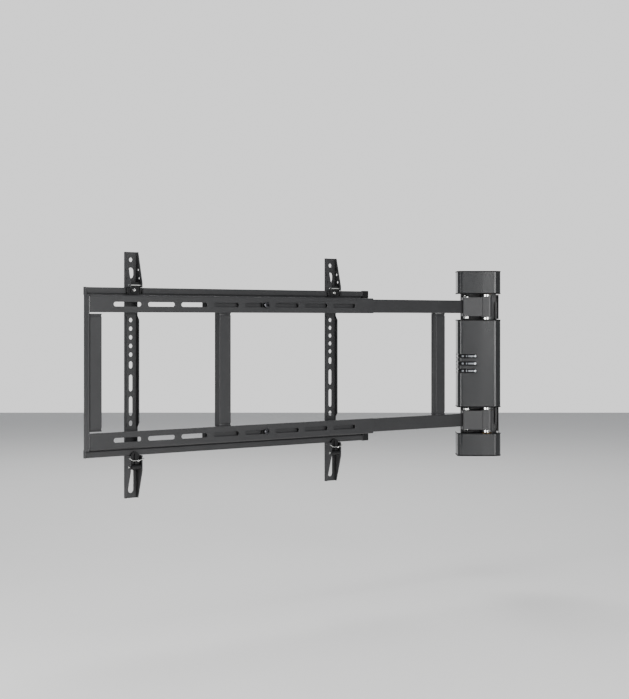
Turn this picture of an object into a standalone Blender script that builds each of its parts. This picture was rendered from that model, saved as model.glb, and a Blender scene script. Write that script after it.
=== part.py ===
"""Full motion television wall mount, in metres, +Z up.

The origin is the middle of the face that lies on the wall. +Y points into the wall, the room
is on the -Y side and +X is to the right of someone facing the wall. A slim motor column stands
on the wall. Two hinge links turn on its shaft, an elbow joins them to a pair of level arms, a
sliding frame runs along the arms, and two hook brackets for the television hang on the frame.

The model is made with the links folded flat against the wall and the arms swung out into the
room, so the column is seen from the front and the frame from behind.
"""
import math

import bmesh
import bpy
from mathutils import Matrix, Vector

# ---------------------------------------------------------------- driving dimensions (metres)
CLEARANCE = 0.0003            # left between pieces that touch
ARM_SPACING = 0.240           # between the centre lines of the two arms
OPEN_ANGLE = math.radians(40)  # between the arms and the wall in the modelled pose

# column on the wall
COLUMN_WIDTH = 0.092
COLUMN_DEPTH = 0.056
COLUMN_HEIGHT = 0.392
LINK_BAY = 0.054              # height of the opening that each link turns in
COVER_WALL = 0.0025
COVER_LID = 0.003
COVER_LEFT_RADIUS = 0.010
COVER_RIGHT_RADIUS = 0.018
COVER_CREASE_X = 0.006        # the front has a shallow upright crease here
COVER_CREASE_RISE = 0.0016
COVER_WALL_GAP = 0.0005       # between a cover's open back and the wall
CHANNEL_SHEET = 0.003
CHANNEL_DEPTH = 0.012
CHANNEL_LEFT = -0.036
CHANNEL_RIGHT = COLUMN_WIDTH / 2 - 0.005
GUARD_INSET = 0.0005          # of the bays' side guards behind the covers' sides
CHANNEL_END_GAP = 0.006       # the channel stops this far inside the caps' lids
CHANNEL_NOTCH = 0.016         # height cut from the right flange beside each link
WALL_HOLE_DIAMETER = 0.0085
WALL_HOLE_HEIGHTS = (0.174, 0.062)

# hinge
HINGE_X = 0.017
HINGE_Y = -0.032
SHAFT_DIAMETER = 0.012
SHAFT_END_STAND_OUT = 0.004   # past the outer hinge plates
SHAFT_CHAMFER = 0.001
HINGE_PLATE_SHEET = 0.005
HINGE_PLATE_RECESS = 0.0015   # behind the covers' edges
HINGE_PLATE_LEFT = -0.030
HINGE_PLATE_RIGHT = 0.036
HINGE_PLATE_FRONT = -0.045
HINGE_PLATE_LEG = 0.018       # height of its leg on the channel
BUSH_WALL = 0.0025
BUSH_FLANGE_DIAMETER = 0.022
BUSH_FLANGE = 0.0012
SPACER_DIAMETER = 0.017
LINK_REACH = 0.042            # from the hinge axis to the elbow axis
ELBOW_SETBACK = 0.004         # the elbow lies this much nearer the wall
BARREL_HEIGHT = 0.043
BARREL_HALF_WIDTH = 0.012
BARREL_FRONT = 0.0188
BARREL_BACK = 0.0168
BARREL_RADIUS = 0.009
FORK_HEIGHT = 0.040
FORK_FRONT = 0.018            # front face, measured from the hinge axis
FORK_BACK = 0.016
FORK_END = 0.0525             # far end, measured from the hinge axis
FORK_FACE_SHEET = 0.004
FORK_CORNER_RADIUS = 0.003
FORK_BACK_RADIUS = 0.011
ELBOW_PIN_DIAMETER = 0.008
ELBOW_HEAD_DIAMETER = 0.0125
ELBOW_HEAD = 0.004
ELBOW_NUT = 0.0045
ELBOW_NUT_FLATS = 0.013

# drive
GEAR_MODULE = 0.00125
GEAR_TEETH = 30
PINION_TEETH = 12
GEAR_ADDENDUM = 0.00095
GEAR_DEDENDUM = 0.0015
GEAR_FACE = 0.010
GEAR_LOW = 0.031
PINION_OVERLAP = 0.001        # the pinion stands past the gear at both faces
MOTOR_SHAFT_DIAMETER = 0.006
MOTOR_PLATE_SHEET = 0.003
GEARBOX_DIAMETER = 0.032
GEARBOX_HEIGHT = 0.026
MOTOR_DIAMETER = 0.030
MOTOR_HEIGHT = 0.058
BOARD_SIZE = (0.040, 0.0016, 0.070)
BOARD_CENTRE = (-0.009, -0.0095, -0.034)
SOCKET_DIAMETER = 0.012
SOCKET_BORE = 0.0066
SOCKET_HEIGHT = 0.012
SOCKET_XY = (-0.018, -0.030)

# vents
VENT_COUNT = 3
VENT_PITCH = 0.0155
VENT_HEIGHT = 0.008
VENT_END_X = -0.0055
VENT_BACK_Y = -0.010
TRIM_BAR_HEIGHT = 0.0046
TRIM_SHEET = 0.0015

# arms, measured from the elbow axis
TUBE_HEIGHT = 0.027
TUBE_DEPTH = 0.013
TUBE_WALL = 0.002
TUBE_START = -0.009
TUBE_END = 0.688
HINGE_BRACE = (0.071, 0.0962)
MID_BRACE = (0.6324, 0.6582)
BRACE_DEPTH = 0.0158
BRACE_SHEET = 0.002
BRACE_TAB = 0.0027
BRACE_GROOVE = 0.0027         # height of the groove beside each tab
BRACE_GROOVE_DEPTH = 0.0013

# frame
SHEET = 0.002
WEB_STAND_OFF = 0.004         # between the tube and the web in front of it
WEB_DROP = 0.001              # the web's free edge passes the tube by this much
FRAME_DEPTH = 0.022           # from the web's face to the rail's back
RAIL_HEIGHT = 0.0140          # hook rail above the channel's flange
RAIL_DEPTH = 0.0068
RAIL_SLIT = 0.0037            # under the rail's hemmed face
WEB_FOLD_RADIUS = 0.0025      # outside radius of the fold along the web's top edge
CHANNEL_NEAR = 0.2786
CHANNEL_FAR = 0.9425
RAIL_NEAR = 0.2935
RAIL_END = 0.0015             # sheet that closes the rail's far end
RAIL_END_LIP = 0.0005         # that sheet stands out of the rail by this much
RAIL_CAP_LENGTH = 0.014
SLOT_COUNT = 8
SLOT_LENGTH = 0.0586
SLOT_WIDTH = 0.008
SLOT_PITCH = 0.0726
FIRST_SLOT = 0.3567
END_PLATE_DEPTH = 0.0158
END_PLATE_HALF_HEIGHT = 0.1368
END_PLATE_SHEET = 0.0025
END_PLATE_GAP = 0.0012        # between the channels' ends and the end plate
END_BRACE_WIDTH = 0.0235
END_BRACE_GAP = 0.0022        # between the end brace and each channel
LOCK_BOLT_SLOT = 3            # counted from the hinge
LOCK_BOLT_DIAMETER = 0.0074
LOCK_BOLT_SETBACK = 0.0025    # from the slot's end to the bolt
LOCK_HEAD_DIAMETER = 0.012
LOCK_HEAD = 0.0035
SLIDE_PAD = 0.020

# hook brackets
LEFT_BRACKET_X = 0.8420
RIGHT_BRACKET_X = 0.3716
BRACKET_WIDTH = 0.027
BRACKET_SHEET = 0.002
BRACKET_TOP = 0.214
BRACKET_BOTTOM = -0.227
BRACKET_RAIL_GAP = 0.0030     # between the frame's back and the bracket's web
FOLD_RADIUS = 0.0015          # of the sheet's folds, which stay where a flange is cut away
EAR_DEPTH = 0.0195
EAR_TIP_DEPTH = 0.006
UPPER_SHOULDER = 0.008        # straight part of the upper ears, next to the rail
LATCH_MARGIN = 0.003          # straight part of the lower ears past the latch's barrel
FLANGE_DEPTH = 0.009
FLANGE_HALF_LENGTH = 0.100
BOLT_HOLE_DIAMETER = 0.008
BOLT_HOLE_PITCH = 0.0155
BOLT_HOLE_FIRST = 0.092
BOLT_HOLE_COUNT = 5
EAR_HOLE_DIAMETER = 0.005
EAR_SLOT_WIDTH = 0.012
WEB_HOLE_DROP = 0.014         # from the bracket's top to its highest hole
BOLT_SLOTS = ((0.005, 0.018), (-0.036, -0.006), (-0.080, -0.045), (-0.098, -0.088))
HOOK_NOSE = 0.0035            # thickness in front of the rail
HOOK_WIDTH = 0.035
HOOK_GROOVE = 0.0016
HOOK_LAP = 0.0112             # how far the nose reaches down the rail
HOOK_BODY_HEIGHT = 0.0095
HOOK_PIN_DIAMETER = 0.003
HOOK_PIN_RISE = 0.0045        # above the rail
HOOK_SCREW_HEAD = 0.0065
LATCH_PIN_DIAMETER = 0.004
LATCH_BARREL_DIAMETER = 0.009
LATCH_DROP = 0.0205           # from the rail's edge to the latch axis
LATCH_LAP = 0.007             # how far the tongue covers the rail
LATCH_WIDTH = 0.018
LATCH_SHEET = 0.003
WIRE_DIAMETER = 0.0018

# ---------------------------------------------------------------- sizes that follow from these
ARM_LEVEL = ARM_SPACING / 2
CENTRE_HALF = (ARM_SPACING - LINK_BAY) / 2
CAP_LOW = (ARM_SPACING + LINK_BAY) / 2
CAP_HIGH = COLUMN_HEIGHT / 2
PLATE_IN_BAY = LINK_BAY / 2 + HINGE_PLATE_RECESS   # from the arm level to a hinge plate
BUSH_DIAMETER = SHAFT_DIAMETER + 2 * (BUSH_WALL + CLEARANCE)
PINION_X = HINGE_X - GEAR_MODULE * (GEAR_TEETH + PINION_TEETH) / 2
FORK_GAP = TUBE_HEIGHT + 0.0016
TUBE_FRONT = TUBE_DEPTH / 2
TUBE_TOP = TUBE_HEIGHT / 2            # above the arm's level
WEB_FACE = TUBE_FRONT + WEB_STAND_OFF + SHEET
FRAME_BACK = WEB_FACE - FRAME_DEPTH
FLANGE_TOP = ARM_LEVEL + TUBE_TOP + CLEARANCE + SHEET
RAIL_TOP = FLANGE_TOP + RAIL_HEIGHT
RAIL_FACE = FRAME_BACK + RAIL_DEPTH
WEB_EDGE = ARM_LEVEL - TUBE_TOP - WEB_DROP
SCREEN_SIDE = FRAME_BACK - BRACKET_RAIL_GAP - BRACKET_SHEET

FINISHES = {                  # sRGB-like grey level, roughness, metallic
    "powder_coat": ((0.065, 0.066, 0.067), 0.55, 0.0),
    "satin_plastic": ((0.045, 0.046, 0.048), 0.38, 0.0),
    "black_plastic": ((0.008, 0.008, 0.009), 0.45, 0.0),
    "zinc": ((0.62, 0.62, 0.60), 0.30, 1.0),
    "steel": ((0.50, 0.50, 0.50), 0.35, 1.0),
    "chrome": ((0.80, 0.80, 0.82), 0.10, 1.0),
    "bronze": ((0.50, 0.33, 0.14), 0.40, 1.0),
    "nylon": ((0.70, 0.69, 0.65), 0.50, 0.0),
    "circuit_green": ((0.02, 0.16, 0.06), 0.45, 0.0),
}


# ---------------------------------------------------------------- scene and materials
for old in list(bpy.data.objects):
    bpy.data.objects.remove(old, do_unlink=True)

mount = bpy.data.collections.new("tv_wall_mount")
cutters = bpy.data.collections.new("cutters")
bpy.context.scene.collection.children.link(mount)
bpy.context.scene.collection.children.link(cutters)


def paint(piece, finish):
    """Give a piece its own Principled material in one of the finishes."""
    colour, roughness, metallic = FINISHES[finish]
    material = bpy.data.materials.new(f"{piece.name}_{finish}")
    material.use_nodes = True
    shader = material.node_tree.nodes["Principled BSDF"]
    shader.inputs["Base Color"].default_value = (*colour, 1.0)
    shader.inputs["Roughness"].default_value = roughness
    shader.inputs["Metallic"].default_value = metallic
    piece.data.materials.clear()
    piece.data.materials.append(material)
    return piece


def axis_empty(name, location, turn=0.0, parent=None):
    """An empty on a joint's axis, for the pieces that move with the joint."""
    empty = bpy.data.objects.new(name, None)
    empty.empty_display_size = 0.03
    empty.location = location
    empty.rotation_euler = (0.0, 0.0, turn)
    empty.parent = parent
    mount.objects.link(empty)
    return empty


# ---------------------------------------------------------------- shapes
def mesh_object(name, mesh, parent=None):
    """Wrap a mesh in an object of the mount."""
    piece = bpy.data.objects.new(name, mesh)
    piece.parent = parent
    mount.objects.link(piece)
    return piece


def box(name, low, high, parent=None):
    """A box between two corners."""
    low = Vector(low)
    high = Vector(high)
    size = high - low
    mesh = bpy.data.meshes.new(name)
    shape = bmesh.new()
    place = Matrix.Translation((low + high) / 2) @ Matrix.Diagonal((*size, 1.0))
    bmesh.ops.create_cube(shape, size=1.0, matrix=place)
    shape.to_mesh(mesh)
    shape.free()
    return mesh_object(name, mesh, parent)


def rods(name, diameter, runs, parent=None, sides=20):
    """Round bars of one diameter, one for each (start, end) pair in runs."""
    mesh = bpy.data.meshes.new(name)
    shape = bmesh.new()
    for start, end in runs:
        start = Vector(start)
        run = Vector(end) - start
        turn = run.to_track_quat("Z", "Y").to_matrix().to_4x4()
        place = Matrix.Translation(start + run / 2) @ turn
        bmesh.ops.create_cone(shape, cap_ends=True, segments=sides, radius1=diameter / 2,
                              radius2=diameter / 2, depth=run.length, matrix=place)
    shape.to_mesh(mesh)
    shape.free()
    return mesh_object(name, mesh, parent)


PLANES = {                    # columns: outline's first axis, second axis, thickness
    "XY": Matrix(((1, 0, 0), (0, 1, 0), (0, 0, 1))),
    "YZ": Matrix(((0, 0, 1), (1, 0, 0), (0, 1, 0))),
    "XZ": Matrix(((1, 0, 0), (0, 0, -1), (0, 1, 0))),
}
THICKNESS_AXIS = {"XY": 2, "YZ": 0, "XZ": 1}


def slab(name, outlines, plane, low, high, parent=None):
    """A flat outline, with any holes after it, made solid from low to high."""
    curve = bpy.data.curves.new(name, "CURVE")
    curve.dimensions = "2D"
    curve.fill_mode = "BOTH"
    curve.extrude = (high - low) / 2
    for outline in outlines:
        spline = curve.splines.new("POLY")
        spline.points.add(len(outline) - 1)
        for point, (first, second) in zip(spline.points, outline):
            point.co = (first, second, 0.0, 1.0)
        spline.use_cyclic_u = True
    middle = Vector((0.0, 0.0, 0.0))
    middle[THICKNESS_AXIS[plane]] = (low + high) / 2
    drawn = bpy.data.objects.new(name + "_outline", curve)
    mount.objects.link(drawn)
    drawn.matrix_world = Matrix.Translation(middle) @ PLANES[plane].to_4x4()
    bpy.context.view_layer.update()
    solid = drawn.evaluated_get(bpy.context.evaluated_depsgraph_get())
    mesh = bpy.data.meshes.new_from_object(solid)
    mesh.name = name
    mesh.transform(drawn.matrix_world)
    bpy.data.objects.remove(drawn, do_unlink=True)
    shape = bmesh.new()
    shape.from_mesh(mesh)
    bmesh.ops.remove_doubles(shape, verts=shape.verts, dist=0.00001)
    bmesh.ops.recalc_face_normals(shape, faces=shape.faces)
    shape.to_mesh(mesh)
    shape.free()
    return mesh_object(name, mesh, parent)


def turned(name, profile, centre, closed, parent=None, steps=20):
    """A profile of (radius, height) points, outer side downwards, turned about an upright."""
    mesh = bpy.data.meshes.new(name)
    points = [(radius, 0.0, height) for radius, height in profile]
    edges = [(i, i + 1) for i in range(len(points) - 1)]
    if closed:
        edges.append((len(points) - 1, 0))
    mesh.from_pydata(points, edges, [])
    piece = mesh_object(name, mesh, parent)
    piece.location = centre
    screw = piece.modifiers.new("turn", "SCREW")
    screw.steps = steps
    screw.render_steps = steps
    screw.use_merge_vertices = True
    screw.merge_threshold = 0.00005
    return piece


def cut(piece, cutter):
    """Take the cutter's shape out of the piece."""
    return boolean(piece, cutter, "DIFFERENCE")


def join(piece, other):
    """Make the other shape part of the piece."""
    return boolean(piece, other, "UNION")


def boolean(piece, tool, operation):
    modifier = piece.modifiers.new(tool.name, "BOOLEAN")
    modifier.operation = operation
    modifier.object = tool
    mount.objects.unlink(tool)
    cutters.objects.link(tool)
    tool.hide_render = True
    tool.display_type = "WIRE"
    return piece


def smooth(piece, angle=35.0):
    """Shade round faces smooth and keep the real edges sharp."""
    piece.data.shade_smooth()
    piece.data.set_sharp_from_angle(angle=math.radians(angle))
    return piece


# ---------------------------------------------------------------- outlines
def arc(x, y, radius, start, end, steps=6):
    """Points on an arc, with its angles in degrees."""
    turn = (end - start) / steps
    angles = [math.radians(start + turn * step) for step in range(steps + 1)]
    return [(x + radius * math.cos(a), y + radius * math.sin(a)) for a in angles]


def rectangle(x0, y0, x1, y1):
    return [(x0, y0), (x1, y0), (x1, y1), (x0, y1)]


def rounded(x0, y0, x1, y1, radius, steps=4):
    """A rectangle whose four corners are arcs."""
    corners = ((x1 - radius, y1 - radius, 0), (x0 + radius, y1 - radius, 90),
               (x0 + radius, y0 + radius, 180), (x1 - radius, y0 + radius, 270))
    return [point for x, y, start in corners
            for point in arc(x, y, radius, start, start + 90, steps)]


def hexagon(x, y, flats):
    radius = flats / math.sqrt(3)
    return [(x + radius * math.cos(math.radians(60 * k)),
             y + radius * math.sin(math.radians(60 * k))) for k in range(6)]


def gear_outline(x, y, teeth, turn):
    """Straight-sided teeth: up a flank, over the tip and down the other flank."""
    pitch_radius = GEAR_MODULE * teeth / 2
    tip = pitch_radius + GEAR_ADDENDUM
    root = pitch_radius - GEAR_DEDENDUM
    step = 2 * math.pi / teeth
    tooth = ((root, -0.27), (tip, -0.105), (tip, 0.105), (root, 0.27))
    return [(x + radius * math.cos(turn + (k + share) * step),
             y + radius * math.sin(turn + (k + share) * step))
            for k in range(teeth) for radius, share in tooth]


def cover_path(inset, back):
    """The covers' plan from the back on the left, round the front, to the back on the right."""
    side = COLUMN_WIDTH / 2 - inset
    front = -(COLUMN_DEPTH - COVER_CREASE_RISE - inset)
    left = COVER_LEFT_RADIUS - inset
    right = COVER_RIGHT_RADIUS - inset
    return ([(-side, back)] + arc(left - side, front + left, left, 180, 270)
            + [(COVER_CREASE_X, front - COVER_CREASE_RISE)]
            + arc(side - right, front + right, right, 270, 360, 9) + [(side, back)])


# ---------------------------------------------------------------- column on the wall
def wall_channel():
    """The folded steel channel that is screwed to the wall and carries everything."""
    inner = CHANNEL_SHEET
    outline = [(CHANNEL_LEFT, 0), (CHANNEL_LEFT, -CHANNEL_DEPTH),
               (CHANNEL_LEFT + inner, -CHANNEL_DEPTH), (CHANNEL_LEFT + inner, -inner),
               (CHANNEL_RIGHT - inner, -inner), (CHANNEL_RIGHT - inner, -CHANNEL_DEPTH),
               (CHANNEL_RIGHT, -CHANNEL_DEPTH), (CHANNEL_RIGHT, 0)]
    half = CAP_HIGH - CHANNEL_END_GAP
    piece = slab("wall_channel", [outline], "XY", -half, half)
    middle = (CHANNEL_LEFT + CHANNEL_RIGHT) / 2
    levels = [side * z for z in WALL_HOLE_HEIGHTS for side in (1, -1)]
    runs = [((middle, -0.006, z), (middle, 0.003, z)) for z in levels]
    cut(piece, rods("wall_holes", WALL_HOLE_DIAMETER, runs))
    for side in (1, -1):
        ends = sorted((side * CAP_LOW, side * (CAP_LOW - CHANNEL_NOTCH)))
        cut(piece, box(f"flange_notch_{side}", (CHANNEL_RIGHT - 2 * inner, -0.02, ends[0]),
                       (CHANNEL_RIGHT + inner, -inner, ends[1])))
        join(piece, bay_guard(side))
    return paint(piece, "powder_coat")


def bay_guard(side):
    """A folded strip beside each link bay that fills the gap between the covers' edges."""
    outer = COLUMN_WIDTH / 2 - GUARD_INSET
    sheet = CHANNEL_SHEET - 0.001
    plan = [(CHANNEL_RIGHT - 0.001, -sheet), (outer - sheet, -sheet),
            (outer - sheet, -CHANNEL_DEPTH), (outer, -CHANNEL_DEPTH), (outer, -0.0005),
            (CHANNEL_RIGHT - 0.001, -0.0005)]
    half = LINK_BAY / 2 - 0.001
    return slab(f"bay_guard_{side}", [plan], "XY", side * ARM_LEVEL - half,
                side * ARM_LEVEL + half)


def cover(name, low, high, lid_at=None):
    """A moulded shell, open at the back, with a lid at one end if it is a cap."""
    back = -COVER_WALL_GAP
    piece = slab(name, [cover_path(0.0, back)], "XY", low, high)
    hollow_low = low + COVER_LID if lid_at == "low" else low - 0.01
    hollow_high = high - COVER_LID if lid_at == "high" else high + 0.01
    hollow = slab(name + "_hollow", [cover_path(COVER_WALL, 0.01)], "XY",
                  hollow_low, hollow_high)
    return cut(piece, hollow)


def vent_levels():
    return [(k - (VENT_COUNT - 1) / 2) * VENT_PITCH for k in range(VENT_COUNT)]


def vent_outline(level, height, grow):
    """A slot that is open at the left and round at its right end."""
    radius = height / 2
    end = arc(VENT_END_X - VENT_HEIGHT / 2 + grow, level, radius, -90, 90)
    left = -COLUMN_WIDTH / 2 - 0.01
    return [(left, level - radius)] + end + [(left, level + radius)]


def centre_cover():
    piece = cover("centre_cover", -CENTRE_HALF, CENTRE_HALF)
    for number, level in enumerate(vent_levels()):
        cut(piece, slab(f"vent_slot_{number}", [vent_outline(level, VENT_HEIGHT, 0.0)],
                        "XZ", -COLUMN_DEPTH - 0.01, VENT_BACK_Y))
    return paint(smooth(piece), "satin_plastic")


def corner_strip(inset, thickness, back, end):
    """Plan of a strip that lies inside the cover, round its left front corner."""
    def edge(depth):
        side = COLUMN_WIDTH / 2 - depth
        front = -(COLUMN_DEPTH - COVER_CREASE_RISE - depth)
        left = COVER_LEFT_RADIUS - depth
        slope = COVER_CREASE_RISE / (side - left + COVER_CREASE_X)
        tip = front - slope * (end + side - left)
        return [(-side, back)] + arc(left - side, front + left, left, 180, 270) + [(end, tip)]
    return edge(inset) + edge(inset + thickness)[::-1]


def vent_trim():
    """A strip behind the vents with one bright bar standing in each of them."""
    reach = VENT_PITCH * VENT_COUNT / 2 + 0.001
    inside = COVER_WALL + CLEARANCE
    piece = slab("vent_trim", [corner_strip(inside, TRIM_SHEET, VENT_BACK_Y - 0.002,
                                            VENT_END_X + 0.002)], "XY", -reach, reach)
    margin = (VENT_HEIGHT - TRIM_BAR_HEIGHT) / 2
    for number, level in enumerate(vent_levels()):
        bar = corner_strip(CLEARANCE, COVER_WALL + TRIM_SHEET / 2,
                           VENT_BACK_Y - margin - 0.002, VENT_END_X - VENT_HEIGHT / 2)
        join(piece, slab(f"vent_bar_{number}", [bar], "XY", level - TRIM_BAR_HEIGHT / 2,
                         level + TRIM_BAR_HEIGHT / 2))
    return paint(smooth(piece), "chrome")


def power_socket():
    """The low-voltage inlet under the bottom cap."""
    x, y = SOCKET_XY
    outer = SOCKET_DIAMETER / 2
    bore = SOCKET_BORE / 2
    floor = -CAP_HIGH
    depth = SOCKET_HEIGHT * 0.8
    profile = [(0.0, SOCKET_HEIGHT), (outer, SOCKET_HEIGHT), (outer, 0.0005), (bore, 0.0005),
               (bore, depth), (0.0, depth)]
    return paint(smooth(turned("power_socket", profile, (x, y, floor), False)),
                 "black_plastic")


def bottom_cap():
    x, y = SOCKET_XY
    piece = cover("bottom_cap_cover", -CAP_HIGH, -CAP_LOW, "low")
    hole = rods("socket_hole", SOCKET_DIAMETER + 2 * CLEARANCE,
                [((x, y, -CAP_HIGH - 0.005), (x, y, -CAP_HIGH + 0.02))])
    return paint(smooth(cut(piece, hole)), "satin_plastic")


def column():
    wall_channel()
    paint(smooth(cover("top_cap_cover", CAP_LOW, CAP_HIGH, "high")), "satin_plastic")
    centre_cover()
    bottom_cap()
    vent_trim()
    power_socket()


# ---------------------------------------------------------------- hinge plates and bushes
def shelf(name, low, sheet, leg_up, holes):
    """A folded shelf on the channel: a level plate and a leg against the channel's web."""
    back = -(CHANNEL_SHEET + CLEARANCE)
    high = low + sheet
    leg = (low, low + HINGE_PLATE_LEG) if leg_up else (high - HINGE_PLATE_LEG, high)
    plan = rounded(HINGE_PLATE_LEFT, HINGE_PLATE_FRONT, HINGE_PLATE_RIGHT, back, 0.004)
    piece = slab(name, [plan], "XY", low, high)
    join(piece, box(name + "_leg", (HINGE_PLATE_LEFT + 0.006, back - CHANNEL_SHEET, leg[0]),
                    (HINGE_PLATE_RIGHT - 0.006, back, leg[1])))
    for number, (x, y, diameter) in enumerate(holes):
        cut(piece, rods(f"{name}_hole_{number}", diameter,
                        [((x, y, low - 0.03), (x, y, high + 0.03))]))
    return paint(piece, "powder_coat")


def bush(name, level, side):
    """A flanged bronze bush in a hinge plate, its flange on the link's side."""
    inner = SHAFT_DIAMETER / 2 + CLEARANCE
    outer = inner + BUSH_WALL
    flange = BUSH_FLANGE_DIAMETER / 2
    face = -side * CLEARANCE
    lip = face - side * BUSH_FLANGE
    end = side * (HINGE_PLATE_SHEET + 0.001)
    profile = [(outer, end), (outer, face), (flange, face), (flange, lip), (inner, lip),
               (inner, end)]
    if side < 0:
        profile.reverse()
    return paint(smooth(turned(name, profile, (HINGE_X, HINGE_Y, level), True)), "bronze")


def hinge_plates():
    """Two plates and bushes above and below each link bay."""
    hole = [(HINGE_X, HINGE_Y, BUSH_DIAMETER + 2 * CLEARANCE)]
    bays = (("top", ARM_LEVEL, 1), ("upper", ARM_LEVEL, -1),
            ("lower", -ARM_LEVEL, 1), ("bottom", -ARM_LEVEL, -1))
    for name, level, side in bays:
        face = level + side * PLATE_IN_BAY
        low = min(face, face + side * HINGE_PLATE_SHEET)
        shelf(f"hinge_plate_{name}", low, HINGE_PLATE_SHEET, side > 0, hole)
        bush(f"shaft_bush_{name}", face, side)


# ---------------------------------------------------------------- drive
def drive():
    """The geared motor, its shelf, its board and the two gears."""
    shelf_low = GEAR_LOW - PINION_OVERLAP - CLEARANCE - MOTOR_PLATE_SHEET
    holes = [(HINGE_X, HINGE_Y, SHAFT_DIAMETER + 0.004),
             (PINION_X, HINGE_Y, MOTOR_SHAFT_DIAMETER + 0.004)]
    shelf("motor_shelf", shelf_low, MOTOR_PLATE_SHEET, False, holes)

    gearbox_top = shelf_low - CLEARANCE
    gearbox_low = gearbox_top - GEARBOX_HEIGHT
    box_radius = GEARBOX_DIAMETER / 2
    socket = MOTOR_SHAFT_DIAMETER / 2 + CLEARANCE
    socket_depth = 0.008
    profile = [(0.0, -socket_depth), (socket, -socket_depth), (socket, 0.0),
               (box_radius - 0.001, 0.0), (box_radius, -0.001),
               (box_radius, -GEARBOX_HEIGHT + 0.001), (box_radius - 0.001, -GEARBOX_HEIGHT),
               (0.0, -GEARBOX_HEIGHT)]
    axis = (PINION_X, HINGE_Y, gearbox_top)
    paint(smooth(turned("motor_gearbox", profile, axis, False)), "zinc")

    can_radius = MOTOR_DIAMETER / 2
    profile = [(0.0, 0.0), (can_radius, 0.0), (can_radius, -MOTOR_HEIGHT + 0.002),
               (can_radius - 0.002, -MOTOR_HEIGHT), (0.005, -MOTOR_HEIGHT),
               (0.005, -MOTOR_HEIGHT - 0.003), (0.0, -MOTOR_HEIGHT - 0.003)]
    axis = (PINION_X, HINGE_Y, gearbox_low - CLEARANCE)
    paint(smooth(turned("motor_can", profile, axis, False)), "steel")

    pinion_low = GEAR_LOW - PINION_OVERLAP
    pinion_high = GEAR_LOW + GEAR_FACE + PINION_OVERLAP
    pinion_axis = axis_empty("pinion_axis", (PINION_X, HINGE_Y, 0.0))
    pinion = slab("motor_pinion", [gear_outline(0.0, 0.0, PINION_TEETH, 0.0)], "XY",
                  pinion_low, pinion_high, pinion_axis)
    stub = rods("pinion_stub", MOTOR_SHAFT_DIAMETER,
                [((0, 0, gearbox_top - socket_depth + 0.001), (0, 0, pinion_high - 0.001))],
                pinion_axis)
    paint(join(pinion, stub), "steel")
    board()


def board():
    """The control board on four pillars, with its larger components."""
    centre = Vector(BOARD_CENTRE)
    half = Vector(BOARD_SIZE) / 2
    piece = box("control_board", centre - half, centre + half)
    front = centre.y - half.y
    blocks = (("relay", (-0.012, 0.020), (0.012, 0.010), 0.004),
              ("capacitor", (0.010, 0.018), (0.008, 0.008), 0.004),
              ("driver_chip", (-0.004, 0.002), (0.014, 0.010), 0.002),
              ("terminal_block", (0.002, -0.026), (0.026, 0.008), 0.004))
    for name, (x, z), (width, height), depth in blocks:
        middle = Vector((centre.x + x, front, centre.z + z))
        size = Vector((width / 2, 0.0, height / 2))
        join(piece, box(name, middle - size + Vector((0, -depth, 0)),
                        middle + size + Vector((0, 0.0005, 0))))
    web = -(CHANNEL_SHEET + CLEARANCE)
    runs = []
    for x in (-0.016, 0.016):
        for z in (-0.031, 0.031):
            place = (centre.x + x, centre.z + z)
            runs.append(((place[0], centre.y, place[1]), (place[0], web, place[1])))
    join(piece, rods("board_pillars", 0.004, runs, sides=12))
    return paint(piece, "circuit_green")


# ---------------------------------------------------------------- hinge links
def round_bolt(name, axis_start, head_side, shank, length, head_width, head_height, socket,
               parent, across=None):
    """A round-headed bolt with a hexagon socket.

    The bolt runs along Z at axis_start, its head standing up from there on head_side; with
    across it runs along the parent's Y axis instead, the head towards +Y.
    """
    crown = head_height * 0.35
    head = head_width / 2
    profile = [(0.0, head_height), (head * 0.62, head_height), (head * 0.9, head_height - crown),
               (head, head_height - 2 * crown), (head, 0.0), (shank / 2, 0.0),
               (shank / 2, -length + 0.0006), (shank / 2 - 0.0006, -length), (0.0, -length)]
    piece = turned(name, profile, axis_start, False, parent, steps=16)
    tool = slab(name + "_socket", [hexagon(0.0, 0.0, socket)], "XY", head_height * 0.35,
                head_height + 0.002, parent)
    tool.location = axis_start
    if across:
        turn = (-math.pi / 2, 0.0, 0.0)
    else:
        turn = (0.0, 0.0, 0.0) if head_side > 0 else (math.pi, 0.0, 0.0)
    piece.rotation_euler = turn
    tool.rotation_euler = turn
    return paint(smooth(cut(piece, tool)), "zinc")


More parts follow.
